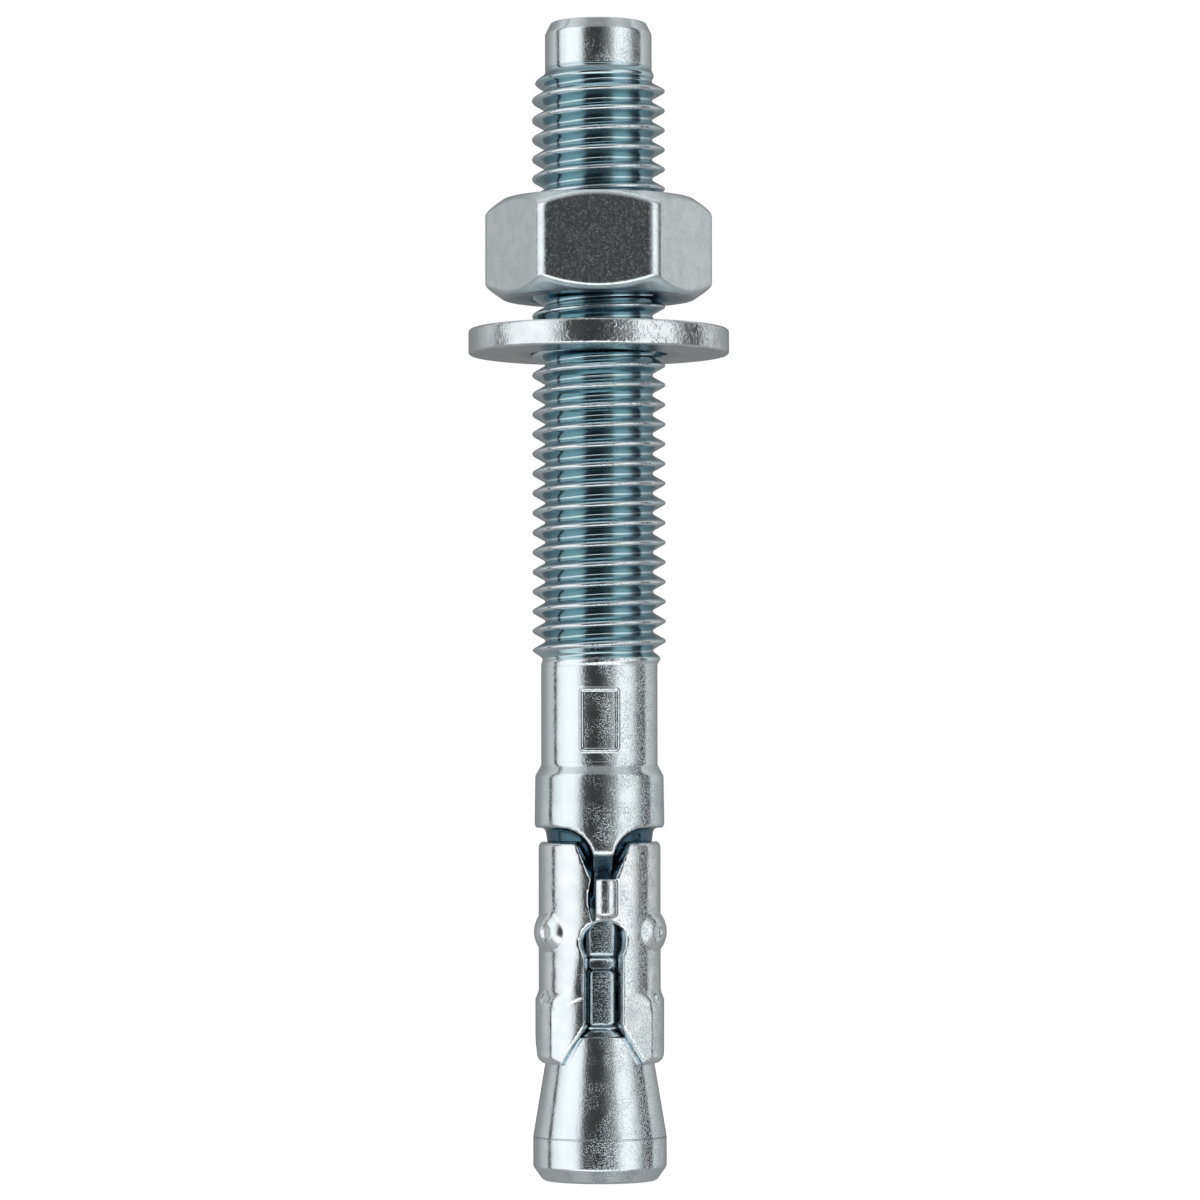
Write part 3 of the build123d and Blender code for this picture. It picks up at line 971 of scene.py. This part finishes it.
def skinned(mesh, rounds, passes, **settings):
    """An even skin over a closed mesh, true on its rounds and worn at its edges."""
    skin = after_modifier(mesh, "REMESH", use_smooth_shade=True, **settings)
    trued(skin, rounds)
    return after_modifier(skin, "SMOOTH", factor=half_way, iterations=passes)


# %% Neck and collar
neck_rounds = [
    (13.0, 3.95, 28.15, 3.95),
    (19.9, 4.32, 25.0, 4.32),
    (13.8, 4.75, 18.6, 4.75),
    (28.15, 3.95, 29.75, 4.62),
    (29.75, 4.62, 31.1, 4.8),
    (28.9, 5.75, 31.25, 5.75),
    (31.25, 5.75, 35.7, 5.69),
    (35.7, 5.69, 36.65, 5.16),
    (36.65, 5.16, 37.4, 5.16),
]
neck_passes = 3
neck_grain = 0.18 * mm
neck = skinned(neck, neck_rounds, neck_passes, mode="VOXEL", voxel_size=neck_grain)
print("neck faces:", len(neck.polygons))

# %% Sleeve skin
sleeve_rounds = [
    (10.35, 5.71, 15.95, 5.71),
    (16.75, 5.4, 29.85, 5.4),
    (12.9, 4.42, 29.85, 4.42),
]
sleeve_passes = 9
sleeve_grain = 0.118 * mm
sleeve_settings = {"mode": "VOXEL", "voxel_size": sleeve_grain}
sleeve_skin = skinned(packed_sleeve, sleeve_rounds, sleeve_passes, **sleeve_settings)
print("sleeve faces:", len(sleeve_skin.polygons))

# %% [markdown]
# The slots are punched before the strip is rolled, and the punch drags one edge of each
# slot inwards, so that side of a slot curves away into shade. The small dimples on the
# foot are punch marks too, too small for the even skin to keep, so they are pressed
# again here. Both are rules on the place of a point, applied once. Turns are in degrees
# from the front, and heights in millimetres.

# %% The dragged edge of each slot
slot_turn = 3.5
slot_half_turn = 19.5
slot_spacing = 120
drag_reach = 17.0
drag_depth = 0.26 * mm
drag_foot = 11.5
drag_top = 20.8
drag_fade = 4


def dragged(turn, height):
    """How far in the skin is dragged at a turn in degrees and a height in millimetres."""
    to_edge = (slot_turn - slot_half_turn - turn) % slot_spacing
    share = max(1 - to_edge / drag_reach, 0)
    ends = min(max(min(height - drag_foot, (drag_top - height) / drag_fade), 0), 1)
    return drag_depth * share * share * ends


print("deepest drag:", drag_depth / mm, "mm")

# %% Dimples on the foot
skin_radius = 5.1 * mm
dimple_radius = 5.6
dimple_spots = [(-61.5, 16.25), (62.2, 16.25), (183.5, 16.25)]
dimple_width = 0.62 * mm
dimple_depth = 0.17 * mm


def dimpled(spot):
    """How far in the skin is pressed near a dimple."""
    for turn, height in dimple_spots:
        angle = math.radians(turn)
        side, depth = dimple_radius * math.sin(angle), -dimple_radius * math.cos(angle)
        centre = Vector((side, depth, height)) * mm
        share = 1 - ((spot - centre).length / dimple_width) ** 2
        if share > 0:
            return dimple_depth * share
    return 0


for spot in sleeve_skin.vertices:
    radius = math.hypot(spot.co.x, spot.co.y)
    if radius > skin_radius:
        turn = math.degrees(math.atan2(spot.co.x, -spot.co.y))
        drop = dragged(turn, spot.co.z / mm) + dimpled(spot.co)
        spot.co.x *= 1 - drop / radius
        spot.co.y *= 1 - drop / radius
print("deepest dimple:", dimple_depth / mm, "mm")

# %% [markdown]
# ## The washer
#
# A flat washer is punched from strip and tumbled, so its rim is square with rounded
# edges. It is one closed outline, spun.

# %% Washer
washer_outline = [
    (6.1, 73.1, 0.15),
    (11.594, 73.1, 0.3),
    (11.594, 75.35, 0.3),
    (6.1, 75.35, 0.15),
]
washer_path = worn(in_metres(washer_outline))
washer_disc = spun(washer_path + washer_path[:1], full_turn)
print("washer faces:", len(washer_disc.polygons))

# %% [markdown]
# ## The nut
#
# A hexagon nut is cold formed, and its corners are turned off by a shallow cone at each
# end, which leaves the curved arc at the top of each flat. A Boolean of cone and
# hexagon would give the arc, but not its worn edge. Here the nut is spun from its round
# outline and held in by the hexagon wherever that is closer to the axis, and a soft
# minimum between the two wears the arc.

# %% The round outline of the nut
nut_base = 78.05
nut_outline = [
    (5.9, 0.45, 0),
    (6.4, 0, 0.1),
    (8.5, 0, 0.12),
    (10.6, 1.47, 0),
    (10.6, 7.38, 0),
    (8.5, 8.85, 0.12),
    (6.4, 8.85, 0.1),
    (5.9, 8.4, 0),
    (5.9, 0.45, 0),
]
nut_outline = [(radius, nut_base + height, wear) for radius, height, wear in nut_outline]
nut_path = worn(in_metres(nut_outline))
print("points on the nut's outline:", len(nut_path))

# %% The hexagon
half_flats = 8.925 * mm
corner_round = 1.4 * mm
arc_wear = 0.5 * mm


def hexagon_radius(turn):
    """How far the hexagon reaches at a turn from the front; corners are to the sides."""
    off_flat = (turn + math.pi / 6) % (math.pi / 3) - math.pi / 6
    off_corner = math.pi / 6 - abs(off_flat)
    centre = (half_flats - corner_round) / math.cos(math.pi / 6)
    tangent = math.atan2(centre / 2, half_flats)
    if abs(off_flat) < tangent:
        return half_flats / math.cos(off_flat)
    aside = centre * math.sin(off_corner)
    return centre * math.cos(off_corner) + math.sqrt(corner_round**2 - aside**2)


def held_in(radius, turn):
    """The smaller of a radius and the hexagon's, with a soft change between them."""
    reach = hexagon_radius(turn)
    blend = max(arc_wear - abs(radius - reach), 0) / arc_wear
    return min(radius, reach) - blend * blend * arc_wear / 4


print("across corners:", round(2 * hexagon_radius(math.pi / 6) / mm, 2), "mm")

# %% [markdown]
# The worn arc runs across the sloping faces of the round outline, so those two runs are
# cut into short steps before the outline is spun. Points also stand closer round each
# corner of the hexagon than on its flats.

# %% Nut
slope_across = 1.5 * mm
slope_up = 1 * mm
slope_step = 0.07 * mm


def stepped(path, step):
    """The path with its sloping runs cut into short steps."""
    fine = []
    for here, there in zip(path, path[1:]):
        across, upwards = abs(there.x - here.x), abs(there.y - here.y)
        run = across > slope_across and upwards > slope_up
        count = math.ceil((there - here).length / step) if run else 1
        fine += [here.lerp(there, n / count) for n in range(count)]
    return fine + path[-1:]


side_turns = even(-5, 5, 0.4) + even(5, 55, 1.0)
nut_turns = [corner + turn for corner in range(30, 390, 60) for turn in side_turns]
nut_turns = [math.radians(turn) for turn in nut_turns]
nut_body = spun(stepped(nut_path, slope_step), nut_turns, held_in)
print("nut faces:", len(nut_body.polygons))

# %% [markdown]
# ## Putting the pieces in place
#
# Every piece is already where it belongs, so each one only needs its body to ride on,
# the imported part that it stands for, and its plate.

# %% Pieces
def piece(name, body, slot, node, metal, *meshes):
    """One object from its meshes, riding on its body in place of its CAD node."""
    shape = bmesh.new()
    for mesh in meshes:
        mesh.materials.clear()
        shape.from_mesh(mesh)
    joined = bpy.data.meshes.new(name)
    shape.to_mesh(joined)
    shape.free()
    joined.materials.append(metal)
    made = bpy.data.objects.new(name, joined)
    scene.collection.objects.link(made)
    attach(made, body)
    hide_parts(node)
    triangles = sum(len(face.vertices) - 2 for face in joined.polygons)
    print(name, "triangles:", triangles)


lengths = (thread, cone, neck, tube, nose)
piece("bolt", "bolt", "bolt_zinc", "anchor_bolt", bolt_zinc, *lengths)
piece("sleeve", "sleeve", "sleeve_zinc", "expansion_sleeve", sleeve_zinc, sleeve_skin)
piece("flat_washer", "washer", "washer_zinc", "washer", washer_zinc, washer_disc)
piece("nut", "nut", "nut_zinc", "hex_nut", nut_zinc, nut_body)
